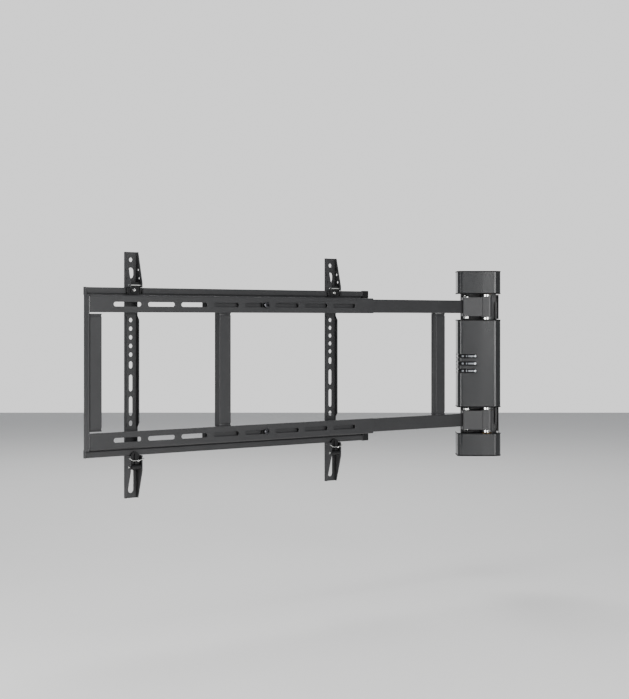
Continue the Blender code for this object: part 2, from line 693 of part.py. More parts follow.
def link(name, level, hinge):
    """A cast link: a barrel round the shaft and a fork, open at the back, for the arm."""
    middle = BARREL_HALF_WIDTH
    fork_end = -FORK_END
    plan = ([(-middle + 0.002, -FORK_FRONT), (-middle + 0.002, FORK_BACK)]
            + arc(fork_end + FORK_BACK_RADIUS, FORK_BACK - FORK_BACK_RADIUS,
                  FORK_BACK_RADIUS, 90, 180)
            + arc(fork_end + FORK_CORNER_RADIUS, -FORK_FRONT + FORK_CORNER_RADIUS,
                  FORK_CORNER_RADIUS, 180, 270, 3))
    half = FORK_HEIGHT / 2
    piece = slab(name, [plan], "XY", level - half, level + half, hinge)
    cavity_half = FORK_GAP / 2
    cut(piece, box(name + "_cavity", (fork_end - 0.01, -FORK_FRONT + FORK_FACE_SHEET,
                                      level - cavity_half),
                   (-middle - 0.006, FORK_BACK + 0.01, level + cavity_half), hinge))
    barrel = (arc(middle - BARREL_RADIUS, BARREL_BACK - BARREL_RADIUS, BARREL_RADIUS, 0, 90)
              + arc(-middle + 0.003, BARREL_BACK - 0.003, 0.003, 90, 180, 3)
              + arc(-middle + 0.003, -BARREL_FRONT + 0.003, 0.003, 180, 270, 3)
              + arc(middle - BARREL_RADIUS, -BARREL_FRONT + BARREL_RADIUS, BARREL_RADIUS,
                    270, 360))
    tall = BARREL_HEIGHT / 2
    join(piece, slab(name + "_barrel", [barrel], "XY", level - tall, level + tall, hinge))
    cut(piece, rods(name + "_bore", SHAFT_DIAMETER + 2 * CLEARANCE,
                    [((0, 0, level - 0.03), (0, 0, level + 0.03))], hinge, 28))
    elbow = (-LINK_REACH, ELBOW_SETBACK)
    cut(piece, rods(name + "_pin_hole", ELBOW_PIN_DIAMETER + 2 * CLEARANCE,
                    [((*elbow, level - 0.03), (*elbow, level + 0.03))], hinge))
    return paint(smooth(piece), "powder_coat")


def elbow_hardware(name, level, side, hinge):
    """The shoulder bolt of one elbow, headed on the outer side, and its nut."""
    top = level + side * (FORK_HEIGHT / 2 + CLEARANCE)
    length = FORK_HEIGHT + 2 * CLEARANCE + ELBOW_NUT + 0.0004
    place = (-LINK_REACH, ELBOW_SETBACK)
    round_bolt(f"{name}_elbow_pin", (*place, top), side, ELBOW_PIN_DIAMETER, length,
               ELBOW_HEAD_DIAMETER, ELBOW_HEAD, 0.005, hinge)
    near = level - side * (FORK_HEIGHT / 2 + CLEARANCE)
    ends = sorted((near, near - side * ELBOW_NUT))
    hole_radius = ELBOW_PIN_DIAMETER / 2 + CLEARANCE
    nut = slab(f"{name}_elbow_nut", [hexagon(*place, ELBOW_NUT_FLATS),
                                     arc(*place, hole_radius, 0, 345, 23)],
               "XY", ends[0], ends[1], hinge)
    paint(nut, "zinc")


def links(hinge):
    """The shaft, the driven gear and both links, which turn together."""
    end = CAP_LOW + HINGE_PLATE_RECESS + HINGE_PLATE_SHEET + SHAFT_END_STAND_OUT
    radius = SHAFT_DIAMETER / 2
    profile = [(0.0, end), (radius - SHAFT_CHAMFER, end), (radius, end - SHAFT_CHAMFER),
               (radius, -end + SHAFT_CHAMFER), (radius - SHAFT_CHAMFER, -end), (0.0, -end)]
    paint(smooth(turned("drive_shaft", profile, (0, 0, 0), False, hinge)), "steel")

    bore = arc(0.0, 0.0, radius + CLEARANCE, 0, 342, 19)
    half_tooth = math.pi / GEAR_TEETH
    gear = slab("driven_gear", [gear_outline(0.0, 0.0, GEAR_TEETH, half_tooth), bore], "XY",
                GEAR_LOW, GEAR_LOW + GEAR_FACE, hinge)
    paint(gear, "steel")

    gap = (LINK_BAY - BARREL_HEIGHT) / 2 + HINGE_PLATE_RECESS - BUSH_FLANGE - 3 * CLEARANCE
    inner = radius + CLEARANCE
    outer = SPACER_DIAMETER / 2
    ring = [(outer, gap), (outer, 0.0), (inner, 0.0), (inner, gap)]
    for name, side in (("upper", 1), ("lower", -1)):
        level = side * ARM_LEVEL
        link(f"{name}_link", level, hinge)
        elbow_hardware(name, level, side, hinge)
        above = level + BARREL_HEIGHT / 2 + CLEARANCE
        below = level - BARREL_HEIGHT / 2 - CLEARANCE - gap
        for place, base in (("above", above), ("below", below)):
            spacer = turned(f"spacer_{place}_{name}_link", ring, (0, 0, base), True, hinge)
            paint(smooth(spacer), "zinc")


# ---------------------------------------------------------------- arms
def tube(name, level, elbow):
    """A steel arm tube with its elbow hole and the hole for its lock bolt."""
    half_depth = TUBE_DEPTH / 2
    half_height = TUBE_HEIGHT / 2
    outer = rounded(-half_depth, level - half_height, half_depth, level + half_height,
                    0.0015, 2)
    hollow = rectangle(-half_depth + TUBE_WALL, level - half_height + TUBE_WALL,
                       half_depth - TUBE_WALL, level + half_height - TUBE_WALL)
    piece = slab(name, [outer, hollow], "YZ", TUBE_START, TUBE_END, elbow)
    cut(piece, rods(name + "_elbow_hole", ELBOW_PIN_DIAMETER + 2 * CLEARANCE,
                    [((0, 0, level - 0.03), (0, 0, level + 0.03))], elbow))
    bolt_x = lock_bolt_x()
    cut(piece, rods(name + "_bolt_hole", LOCK_BOLT_DIAMETER + 2 * CLEARANCE,
                    [((bolt_x, 0, level), (bolt_x, 0.02, level))], elbow))
    return paint(piece, "powder_coat")


def slot_centres():
    return [FIRST_SLOT + SLOT_PITCH * k for k in range(SLOT_COUNT)]


def lock_bolt_x():
    """The lock bolt sits at the hinge end of its slot."""
    centre = slot_centres()[LOCK_BOLT_SLOT]
    return centre - SLOT_LENGTH / 2 + SLOT_WIDTH / 2 + LOCK_BOLT_SETBACK


def brace(name, near, far, front, depth, reach, elbow):
    """A folded upright, open at the back, with a tab at each end for its weld."""
    back = front - depth
    inner = BRACE_SHEET
    plan = [(near, back), (near, front), (far, front), (far, back), (far - inner, back),
            (far - inner, front - inner), (near + inner, front - inner), (near + inner, back)]
    piece = slab(name, [plan], "XY", -reach, reach, elbow)
    for side in (1, -1):
        groove = sorted((side * (reach - BRACE_TAB), side * (reach - BRACE_TAB - BRACE_GROOVE)))
        cut(piece, box(f"{name}_groove_{side}", (near - 0.001, front - BRACE_GROOVE_DEPTH,
                                                 groove[0]),
                       (far + 0.001, front + 0.001, groove[1]), elbow))
    return paint(piece, "powder_coat")


def arms(elbow):
    reach = ARM_LEVEL - TUBE_HEIGHT / 2 - CLEARANCE
    brace("hinge_brace", *HINGE_BRACE, TUBE_FRONT, BRACE_DEPTH, reach, elbow)
    brace("mid_brace", *MID_BRACE, TUBE_FRONT, BRACE_DEPTH, reach, elbow)
    bolt_x = lock_bolt_x()
    for name, level in (("upper", ARM_LEVEL), ("lower", -ARM_LEVEL)):
        tube(f"{name}_arm_tube", level, elbow)
        head_base = WEB_FACE + CLEARANCE
        length = head_base - TUBE_FRONT + TUBE_WALL + 0.002
        round_bolt(f"{name}_lock_bolt", (bolt_x, head_base, level), 1, LOCK_BOLT_DIAMETER,
                   length, LOCK_HEAD_DIAMETER, LOCK_HEAD, 0.005, elbow, across=True)
        half = SLIDE_PAD / 2
        hole = arc(bolt_x, level, LOCK_BOLT_DIAMETER / 2 + CLEARANCE, 0, 345, 23)
        pad = slab(f"{name}_slide_pad", [rounded(bolt_x - half, level - half, bolt_x + half,
                                                 level + half, 0.003), hole], "XZ",
                   TUBE_FRONT + CLEARANCE, WEB_FACE - SHEET - CLEARANCE, elbow)
        paint(pad, "nylon")


# ---------------------------------------------------------------- sliding frame
def frame_channel(name, side, elbow):
    """One folded profile: a slotted web, a flange over the tube and a hemmed hook rail."""
    def level(z):
        return side * z
    web = WEB_FACE
    back = FRAME_BACK
    face = RAIL_FACE
    fold = WEB_FOLD_RADIUS
    profile = [(web, WEB_EDGE)] + arc(web - fold, FLANGE_TOP - fold, fold, 0, 90, 3)
    profile += [(back + SHEET, FLANGE_TOP),
                (back + SHEET, RAIL_TOP - SHEET), (face - SHEET, RAIL_TOP - SHEET),
                (face - SHEET, FLANGE_TOP + RAIL_SLIT), (face, FLANGE_TOP + RAIL_SLIT),
                (face, RAIL_TOP), (back, RAIL_TOP), (back, FLANGE_TOP - SHEET),
                (web - SHEET, FLANGE_TOP - SHEET), (web - SHEET, WEB_EDGE)]
    outline = [(y, level(z)) for y, z in profile]
    piece = slab(name, [outline], "YZ", CHANNEL_NEAR, CHANNEL_FAR, elbow)
    trim = sorted((level(FLANGE_TOP - SHEET), level(RAIL_TOP + 0.005)))
    lip = RAIL_END_LIP
    ends = sorted((level(FLANGE_TOP + lip), level(RAIL_TOP + lip)))
    join(piece, box(name + "_rail_end", (CHANNEL_FAR - RAIL_END, back - lip, ends[0]),
                    (CHANNEL_FAR + lip, face + lip, ends[1]), elbow))
    cut(piece, box(name + "_rail_trim", (CHANNEL_NEAR - 0.01, back - 0.005, trim[0]),
                   (RAIL_NEAR, face + 0.002, trim[1]), elbow))
    radius = SLOT_WIDTH / 2
    run = SLOT_LENGTH / 2
    outlines = [rounded(x - run, level(ARM_LEVEL) - radius, x + run,
                        level(ARM_LEVEL) + radius, radius - 0.0001, 3)
                for x in slot_centres()]
    cut(piece, slab(f"{name}_slots", outlines, "XZ", WEB_FACE - 0.005, WEB_FACE + 0.005,
                    elbow))
    return paint(piece, "powder_coat")


def rail_cap(name, side, elbow):
    """A moulded stop on the hinge end of a hook rail, plugged into the rail's hem."""
    low = FLANGE_TOP + CLEARANCE
    high = RAIL_TOP + 0.001
    near = RAIL_NEAR - RAIL_CAP_LENGTH
    span = sorted((side * low, side * high))
    piece = slab(name, [rounded(FRAME_BACK, span[0], RAIL_FACE + 0.001, span[1], 0.0015, 3)],
                 "YZ", near, RAIL_NEAR - CLEARANCE, elbow)
    plug = sorted((side * (FLANGE_TOP + RAIL_SLIT), side * (RAIL_TOP - SHEET - CLEARANCE)))
    join(piece, box(name + "_plug", (near + 0.004, FRAME_BACK + SHEET + CLEARANCE, plug[0]),
                    (RAIL_NEAR + 0.008, RAIL_FACE - SHEET - CLEARANCE, plug[1]), elbow))
    return paint(piece, "black_plastic")


def frame(elbow):
    for name, side in (("upper", 1), ("lower", -1)):
        frame_channel(f"{name}_channel", side, elbow)
        rail_cap(f"{name}_rail_cap", side, elbow)
    plate_near = CHANNEL_FAR + END_PLATE_GAP
    half = END_PLATE_HALF_HEIGHT
    plan = rounded(WEB_FACE - END_PLATE_DEPTH, -half, WEB_FACE, half, 0.002, 3)
    plate = slab("end_plate", [plan], "YZ", plate_near, plate_near + END_PLATE_SHEET, elbow)
    paint(plate, "powder_coat")
    reach = WEB_EDGE - END_BRACE_GAP
    brace("end_brace", CHANNEL_FAR - END_BRACE_WIDTH, CHANNEL_FAR, WEB_FACE,
          END_PLATE_DEPTH, reach, elbow)


# ---------------------------------------------------------------- hook brackets
def bracket_holes(name, x, elbow):
    """Cutters for the holes in the bracket's web and for those through its ears."""
    radius = BOLT_HOLE_DIAMETER / 2
    rows = [BOLT_HOLE_FIRST - BOLT_HOLE_PITCH * k for k in range(BOLT_HOLE_COUNT)]
    outlines = [arc(x, z, radius, 0, 330, 11) for z in rows + [BRACKET_TOP - WEB_HOLE_DROP]]
    outlines += [rounded(x - radius, low, x + radius, high, radius - 0.0001, 4)
                 for low, high in BOLT_SLOTS]
    wide = EAR_SLOT_WIDTH / 2
    outlines += [rounded(x - wide, low, x + wide, high, wide - 0.0001, 4)
                 for low, high in ((BRACKET_TOP - 0.047, BRACKET_TOP - 0.028),
                                   (BRACKET_BOTTOM + 0.009, BRACKET_BOTTOM + 0.052))]
    through = 0.005
    tools = [slab(f"{name}_web_holes", outlines, "XZ", SCREEN_SIDE - through,
                  SCREEN_SIDE + BRACKET_SHEET + through, elbow)]
    ear_top = SCREEN_SIDE + EAR_DEPTH
    ears = (("hook_pin_holes", HOOK_PIN_DIAMETER + 2 * CLEARANCE,
             [(hook_pin_y(), RAIL_TOP + HOOK_PIN_RISE)]),
            ("latch_pin_holes", LATCH_PIN_DIAMETER + 2 * CLEARANCE,
             [(latch_y(), -RAIL_TOP - LATCH_DROP)]),
            ("ear_holes", EAR_HOLE_DIAMETER,
             [(ear_top - 0.0095, RAIL_TOP + 0.017), (ear_top - 0.0125, RAIL_TOP + 0.032)]))
    for label, diameter, places in ears:
        runs = [((x - BRACKET_WIDTH, y, z), (x + BRACKET_WIDTH, y, z)) for y, z in places]
        tools.append(rods(f"{name}_{label}", diameter, runs, elbow, 12))
    return tools


def bracket(name, x, elbow):
    """A folded upright: a web on the television, shallow flanges, and deep ears at its ends."""
    half = BRACKET_WIDTH / 2
    inner = half - BRACKET_SHEET
    web = SCREEN_SIDE + BRACKET_SHEET
    ear = SCREEN_SIDE + EAR_DEPTH
    plan = [(x - half, SCREEN_SIDE), (x - half, ear), (x - inner, ear), (x - inner, web),
            (x + inner, web), (x + inner, ear), (x + half, ear), (x + half, SCREEN_SIDE)]
    piece = slab(name, [plan], "XY", BRACKET_BOTTOM, BRACKET_TOP, elbow)

    near = RAIL_TOP + CLEARANCE
    low_side = web + FOLD_RADIUS
    shallow = SCREEN_SIDE + FLANGE_DEPTH
    run = FLANGE_HALF_LENGTH
    above = ear + 0.02
    gap = [(above, -near), (low_side, -near), (low_side, -run), (shallow, -run + 0.008),
           (shallow, run - 0.008), (low_side, run), (low_side, near), (above, near)]
    trims = [gap]
    latch_end = RAIL_TOP + LATCH_DROP + LATCH_BARREL_DIAMETER / 2 + LATCH_MARGIN
    for side, shoulder, end in ((1, near + UPPER_SHOULDER, BRACKET_TOP),
                                (-1, -latch_end, BRACKET_BOTTOM)):
        slope = (SCREEN_SIDE + EAR_TIP_DEPTH - ear) / (end - shoulder)
        start = shoulder + 0.004 / slope
        stop = end + side * 0.01
        trims.append([(ear + 0.004, start), (above, start), (above, stop),
                      (ear + slope * (stop - shoulder), stop)])
    for number, trim in enumerate(trims):
        cut(piece, slab(f"{name}_trim_{number}", [trim], "YZ", x - BRACKET_WIDTH,
                        x + BRACKET_WIDTH, elbow))
    for tool in bracket_holes(name, x, elbow):
        cut(piece, tool)
    return paint(piece, "powder_coat")


def hook_pin_y():
    return SCREEN_SIDE + EAR_DEPTH - 0.0035


def latch_y():
    return RAIL_FACE + CLEARANCE + LATCH_BARREL_DIAMETER / 2


def hook(name, x, elbow):
    """The black hook block: a body between the ears and a grooved nose over the rail's face."""
    inside = BRACKET_WIDTH / 2 - BRACKET_SHEET - CLEARANCE
    half = HOOK_WIDTH / 2
    seat = RAIL_TOP + CLEARANCE
    back = SCREEN_SIDE + BRACKET_SHEET + CLEARANCE
    pin_back = hook_pin_y() - HOOK_PIN_DIAMETER / 2 - CLEARANCE
    nose_back = RAIL_FACE + CLEARANCE
    nose_front = nose_back + HOOK_NOSE
    low = RAIL_TOP - HOOK_LAP
    piece = box(name, (x - inside, back, seat), (x + inside, pin_back,
                                                seat + HOOK_BODY_HEIGHT), elbow)
    under_pin = RAIL_TOP + HOOK_PIN_RISE - HOOK_PIN_DIAMETER / 2 - CLEARANCE
    join(piece, box(f"{name}_neck", (x - inside, nose_back, RAIL_TOP - 0.002),
                    (x + inside, nose_front, under_pin), elbow))
    # Where the ears are shallow, the body ends behind the rail's face: a bridge joins it.
    join(piece, box(f"{name}_bridge", (x - inside, min(nose_back, pin_back - 0.002), seat),
                    (x + inside, nose_front, under_pin), elbow))
    corner = 0.003
    nose = [(x - half, low + 0.0005), (x + half - corner, low)]
    nose += arc(x + half - corner, low + corner, corner, 270, 360, 3)
    nose += [(x + half, seat - 2 * CLEARANCE), (x - half, seat - 2 * CLEARANCE)]
    join(piece, slab(f"{name}_nose", [nose], "XZ", nose_back, nose_front, elbow))
    groove = HOOK_GROOVE / 2
    for side in (1, -1):
        middle = x + side * half * 0.52
        cut(piece, box(f"{name}_groove_{side}", (middle - groove, nose_front - 0.0018,
                                                 low - 0.001),
                       (middle + groove, nose_front + 0.001, seat - 0.001), elbow))
    notch = x - half * 0.78
    gap = [(notch - 0.0017, low - 0.001), (notch + 0.0017, low - 0.001), (notch, seat - 0.004)]
    cut(piece, slab(f"{name}_notch", [gap], "XZ", nose_back - 0.001, nose_front + 0.001, elbow))
    screw = hook_screw_place(x)
    cut(piece, rods(f"{name}_screw_hole", 0.0046, [((screw[0], nose_back - 0.001, screw[2]),
                                                    (screw[0], nose_front + 0.001, screw[2]))],
                    elbow))
    return paint(piece, "black_plastic")


def hook_screw_place(x):
    face = RAIL_FACE + CLEARANCE + HOOK_NOSE
    return (x + 0.002, face + CLEARANCE, RAIL_TOP - 0.0045)


def latch_axis(name, x, elbow):
    return axis_empty(name, (x, latch_y(), -RAIL_TOP - LATCH_DROP), 0.0, elbow)


def latch(name, x, axis):
    """The sprung latch: a barrel on its pin and a round-ended tongue over the lower rail."""
    inside = BRACKET_WIDTH / 2 - BRACKET_SHEET - CLEARANCE
    piece = rods(name, LATCH_BARREL_DIAMETER, [((-inside, 0, 0), (inside, 0, 0))], axis)
    top = LATCH_DROP + LATCH_LAP
    half = LATCH_WIDTH / 2
    back = -LATCH_BARREL_DIAMETER / 2 + 0.0002
    tongue = [(-half, 0.0), (half, 0.0)] + arc(0.0, top - half, half, 0, 180, 10)
    join(piece, slab(f"{name}_tongue", [tongue], "XZ", back, back + LATCH_SHEET, axis))
    rib = [(-0.0015, 0.0), (0.0015, 0.0), (0.0015, top - 0.004), (-0.0015, top - 0.004)]
    join(piece, slab(f"{name}_rib", [rib], "XZ", back + 0.001, back + LATCH_SHEET + 0.002,
                     axis))
    cut(piece, rods(f"{name}_bore", LATCH_PIN_DIAMETER + 2 * CLEARANCE,
                    [((-inside - 0.01, 0, 0), (inside + 0.01, 0, 0))], axis))
    return paint(piece, "black_plastic")


def latch_wire(name, axis):
    """The bent steel wire that the latch is pulled by, standing in front of the tongue."""
    in_front_of_ears = SCREEN_SIDE + EAR_DEPTH - latch_y() + 2 * CLEARANCE
    in_front_of_barrel = LATCH_SHEET + 0.0022 - LATCH_BARREL_DIAMETER / 2 + CLEARANCE
    y = max(in_front_of_ears, in_front_of_barrel) + WIRE_DIAMETER / 2
    route = [(0.0165, y, 0.0162), (0.0150, y, 0.0160), (0.0095, y, 0.0122), (0.0080, y, 0.0118),
             (-0.0010, y, 0.0118), (-0.0022, y, 0.0102), (-0.0036, y, 0.0102),
             (-0.0048, y, 0.0118), (-0.0085, y, 0.0124), (-0.0135, y, 0.0142),
             (-0.0155, y, 0.0142)]
    curve = bpy.data.curves.new(name, "CURVE")
    curve.dimensions = "3D"
    curve.bevel_depth = WIRE_DIAMETER / 2
    curve.bevel_resolution = 2
    curve.use_fill_caps = True
    spline = curve.splines.new("POLY")
    spline.points.add(len(route) - 1)
    for point, place in zip(spline.points, route):
        point.co = (*place, 1.0)
    wire = bpy.data.objects.new(name, curve)
    wire.parent = axis
    mount.objects.link(wire)
    return paint(wire, "zinc")


def hook_bracket(side, x, elbow):
    """One complete bracket with its hook, screw, pins and latch."""
    bracket(f"{side}_bracket", x, elbow)
    hook(f"{side}_hook", x, elbow)
    reach = BRACKET_WIDTH / 2 + 0.0008
    pin_y = hook_pin_y()
    pin_z = RAIL_TOP + HOOK_PIN_RISE
    paint(rods(f"{side}_hook_pin", HOOK_PIN_DIAMETER,
               [((x - reach, pin_y, pin_z), (x + reach, pin_y, pin_z))], elbow, 16), "zinc")
    round_bolt(f"{side}_hook_screw", hook_screw_place(x), 1, 0.004, HOOK_NOSE - 0.001,
               HOOK_SCREW_HEAD, 0.0022, 0.0025, elbow, across=True)
    latch_z = -RAIL_TOP - LATCH_DROP
    paint(rods(f"{side}_latch_pin", LATCH_PIN_DIAMETER,
               [((x - reach, latch_y(), latch_z), (x + reach, latch_y(), latch_z))], elbow, 16),
          "zinc")
    axis = latch_axis(f"{side}_latch_axis", x, elbow)
    latch(f"{side}_latch", x, axis)
    latch_wire(f"{side}_latch_wire", axis)


# ---------------------------------------------------------------- the whole mount
def build():
    column()
    hinge_plates()
    drive()
    hinge = axis_empty("hinge_axis", (HINGE_X, HINGE_Y, 0.0))
    links(hinge)
    elbow = axis_empty("elbow_axis", (-LINK_REACH, ELBOW_SETBACK, 0.0),
                       math.pi + OPEN_ANGLE, hinge)
    arms(elbow)
    frame(elbow)
    hook_bracket("left", LEFT_BRACKET_X, elbow)
    hook_bracket("right", RIGHT_BRACKET_X, elbow)


build()
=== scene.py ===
# %% [markdown]
# # A swing-out television mount
# This lesson dresses a finished mechanical model. The solids come from a CAD frame and keep their
# sizes and places. What is added here is what a camera notices: rounded edges that catch light,
# real finishes, small pieces such as weld beads, and a quiet studio around it.
#
# First the frame is loaded.

# %% Load the frame
import math

import bmesh
import bpy
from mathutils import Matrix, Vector


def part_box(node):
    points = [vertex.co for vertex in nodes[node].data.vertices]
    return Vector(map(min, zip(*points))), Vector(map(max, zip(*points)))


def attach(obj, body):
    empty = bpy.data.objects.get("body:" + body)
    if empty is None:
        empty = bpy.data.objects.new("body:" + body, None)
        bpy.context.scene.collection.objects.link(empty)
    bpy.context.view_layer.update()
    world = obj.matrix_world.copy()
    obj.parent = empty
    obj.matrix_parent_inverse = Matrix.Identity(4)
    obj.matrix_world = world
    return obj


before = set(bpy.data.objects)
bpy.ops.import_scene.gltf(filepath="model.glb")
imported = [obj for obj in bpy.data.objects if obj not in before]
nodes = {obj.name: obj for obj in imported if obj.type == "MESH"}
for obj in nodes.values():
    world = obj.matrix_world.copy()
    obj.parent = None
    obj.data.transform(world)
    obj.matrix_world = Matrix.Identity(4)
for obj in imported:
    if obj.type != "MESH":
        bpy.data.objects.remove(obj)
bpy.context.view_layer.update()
MM = 0.001
print("pieces in the frame:", len(nodes))

# %% [markdown]
# ## Two helpers for every finish
# Colours are chosen as the hex values that a paint chart or a screen shows. A renderer works with
# linear light, so one function turns the first into the second. The other helper adds one shader
# node with its settings and its links, which keeps each finish short enough to read.

# %% Colour and node helpers
def linear(hex_colour):
    """An sRGB hex value as linear red, green, blue and full alpha."""
    channels = [int(hex_colour[k:k + 2], 16) / 255 for k in (1, 3, 5)]
    return (*[c / 12.92 if c <= 0.04045 else ((c + 0.055) / 1.055) ** 2.4 for c in channels], 1.0)


def add(material, kind, inputs=None, **settings):
    """A new shader node: settings are its properties, inputs are values or links by socket."""
    made = material.node_tree.nodes.new(kind)
    for name, value in settings.items():
        setattr(made, name, value)
    for socket, value in (inputs or {}).items():
        if isinstance(value, bpy.types.NodeSocket):
            material.node_tree.links.new(value, made.inputs[socket])
        else:
            made.inputs[socket].default_value = value
    return made


def finish(name, **sockets):
    """An empty material with one Principled shader, its sockets set by name."""
    material = bpy.data.materials.new(name)
    material.use_nodes = True
    shader = material.node_tree.nodes["Principled BSDF"]
    for socket, value in sockets.items():
        shader.inputs[socket.replace("_", " ")].default_value = value
    return material, shader


def join(material, output, shader, socket):
    material.node_tree.links.new(output, shader.inputs[socket])


def per_metre(size_mm):
    """A noise or cell scale that gives features of about this size."""
    return 1000 / size_mm


# %% [markdown]
# ## Powder-coated steel
# The arms, the frame and the brackets are mild steel under a baked polyester powder. The powder
# melts into tiny hills about a millimetre apart, which break highlights into a soft sheen. A
# real coat is never one flat grey either: it is a touch thinner and darker over long stretches.
# Noise does both jobs, at two scales. The hills are drawn 1.2 mm apart, a little coarser than
# the real ones, so that they still show at arm's length.

# %% Powder coat
SPECKLE = 0.14
GLOSS_DRIFT = 0.07


def powder_coat(name, light, dark, roughness):
    material, shader = finish(name, IOR=1.5, Roughness=roughness)
    place = add(material, "ShaderNodeTexCoord").outputs["Object"]
    drift = add(material, "ShaderNodeTexNoise", {"Vector": place, "Scale": per_metre(60.0),
                                                 "Detail": 3.0})
    tone = add(material, "ShaderNodeMix", {"Factor": drift.outputs["Fac"], 6: linear(dark),
                                           7: linear(light)}, data_type="RGBA")
    hills = add(material, "ShaderNodeTexNoise", {"Vector": place, "Scale": per_metre(1.2),
                                                 "Detail": 2.0})
    speckle = add(material, "ShaderNodeMix", {"Factor": hills.outputs["Fac"],
                                              6: (1 - SPECKLE,) * 3 + (1.0,),
                                              7: (1 + SPECKLE,) * 3 + (1.0,)},
                  data_type="RGBA")
    colour = add(material, "ShaderNodeMix", {"Factor": 1.0, 6: tone.outputs[2],
                                             7: speckle.outputs[2]},
                 data_type="RGBA", blend_type="MULTIPLY")
    join(material, colour.outputs[2], shader, "Base Color")
    gloss = add(material, "ShaderNodeMapRange", {"Value": hills.outputs["Fac"],
                                                 "To Min": roughness - GLOSS_DRIFT,
                                                 "To Max": roughness + GLOSS_DRIFT})
    join(material, gloss.outputs["Result"], shader, "Roughness")
    relief = add(material, "ShaderNodeBump", {"Height": hills.outputs["Fac"], "Strength": 0.35,
                                              "Distance": 0.12 * MM})
    join(material, relief.outputs["Normal"], shader, "Normal")
    return material


arm_coat = powder_coat("powder_coated_steel", "#303031", "#262627", 0.42)
inner_coat = powder_coat("powder_coated_hinge_steel", "#303031", "#262627", 0.36)
print("powder coats:", arm_coat.name, inner_coat.name)

# %% [markdown]
# ## Moulded plastics
# The column's covers are ABS, moulded against a spark-eroded steel tool. Its pits are about half a
# millimetre across and shallow, so the covers stay satin and show long upright highlights. The
# hooks, latches, slide pads and end stops are nylon with glass fibre. Fibres near the skin leave
# faint streaks, and the nylon is nearly black. The strips at the covers' edges are painted shade,
# a near-black stand-in for the dark along the rounded edges, and the dullest of the three.

# %% Satin covers and black nylon
def moulded(name, light, dark, roughness, grain_mm, streak_mm, depth_mm):
    material, shader = finish(name, IOR=1.52, Roughness=roughness)
    place = add(material, "ShaderNodeTexCoord").outputs["Object"]
    stretched = add(material, "ShaderNodeMapping", {"Vector": place, "Scale": (1.0, 1.0, 0.25)})
    flow = add(material, "ShaderNodeTexNoise", {"Vector": stretched.outputs["Vector"],
                                                "Scale": per_metre(streak_mm), "Detail": 4.0})
    tone = add(material, "ShaderNodeMix", {"Factor": flow.outputs["Fac"], 6: linear(dark),
                                           7: linear(light)}, data_type="RGBA")
    join(material, tone.outputs[2], shader, "Base Color")
    grain = add(material, "ShaderNodeTexVoronoi", {"Vector": place,
                                                   "Scale": per_metre(grain_mm)})
    gloss = add(material, "ShaderNodeMapRange", {"Value": flow.outputs["Fac"],
                                                 "To Min": roughness - 0.05,
                                                 "To Max": roughness + 0.06})
    join(material, gloss.outputs["Result"], shader, "Roughness")
    relief = add(material, "ShaderNodeBump", {"Height": grain.outputs["Distance"],
                                              "Strength": 0.25, "Distance": depth_mm * MM})
    join(material, relief.outputs["Normal"], shader, "Normal")
    return material


satin_covers = moulded("satin_abs", "#222324", "#1b1c1d", 0.22, 0.5, 45.0, 0.03)
black_nylon = moulded("glass_filled_nylon", "#161617", "#0e0e0f", 0.36, 0.8, 6.0, 0.04)
# A near-black, dull material for the strips of painted shade along the covers' edges.
painted_edge_shade = moulded("painted_edge_shade_strip", "#0a0a0b", "#050506", 0.65, 0.4, 5.0, 0.02)
for plastic, shine in ((painted_edge_shade, 0.15), (black_nylon, 0.3)):
    shader = plastic.node_tree.nodes["Principled BSDF"]
    shader.inputs["Specular IOR Level"].default_value = shine
print("plastics:", satin_covers.name, black_nylon.name, painted_edge_shade.name)

# %% [markdown]
# ## Metals
# Pins and screws are zinc plated, and the two lock bolts are black zinc. Plating grows in small
# crystals, which tilt the reflection a little from one to the next. The shaft, the gears and the
# motor can are turned, and the tool leaves level rings a third of a millimetre apart. They are
# drawn twice as far apart, so that they show. The vents' bars are polished chrome, and the bushes
# are bronze pressed from powder, with open pores that hold the oil.

# %% Plated, turned, polished and sintered metal
def metal(name, light, dark, roughness, spread, patch_mm):
    """A bare or plated metal whose colour and roughness drift in patches."""
    material, shader = finish(name, Metallic=1.0, Roughness=roughness)
    place = add(material, "ShaderNodeTexCoord").outputs["Object"]
    patches = add(material, "ShaderNodeTexNoise", {"Vector": place,
                                                   "Scale": per_metre(patch_mm), "Detail": 3.0})
    tone = add(material, "ShaderNodeMix", {"Factor": patches.outputs["Fac"], 6: linear(dark),
                                           7: linear(light)}, data_type="RGBA")
    join(material, tone.outputs[2], shader, "Base Color")
    gloss = add(material, "ShaderNodeMapRange", {"Value": patches.outputs["Fac"],
                                                 "To Min": roughness - spread,
                                                 "To Max": roughness + spread})
    join(material, gloss.outputs["Result"], shader, "Roughness")
    return material, shader, place


def relieve(material, shader, height, strength, depth_mm):
    relief = add(material, "ShaderNodeBump", {"Height": height, "Strength": strength,
                                              "Distance": depth_mm * MM})
    join(material, relief.outputs["Normal"], shader, "Normal")
    return material


zinc, zinc_shader, zinc_place = metal("zinc_plated_steel", "#e6e6e2", "#c3c4c2", 0.24, 0.08, 4.0)
blackened = metal("black_zinc_plated_steel", "#5a5a5d", "#3a3a3d", 0.30, 0.06, 3.0)[0]
crystals = add(zinc, "ShaderNodeTexVoronoi", {"Vector": zinc_place, "Scale": per_metre(0.6)})
relieve(zinc, zinc_shader, crystals.outputs["Distance"], 0.2, 0.02)

steel, steel_shader, steel_place = metal("turned_steel", "#c9c9c8", "#a9aaab", 0.28, 0.06, 7.0)
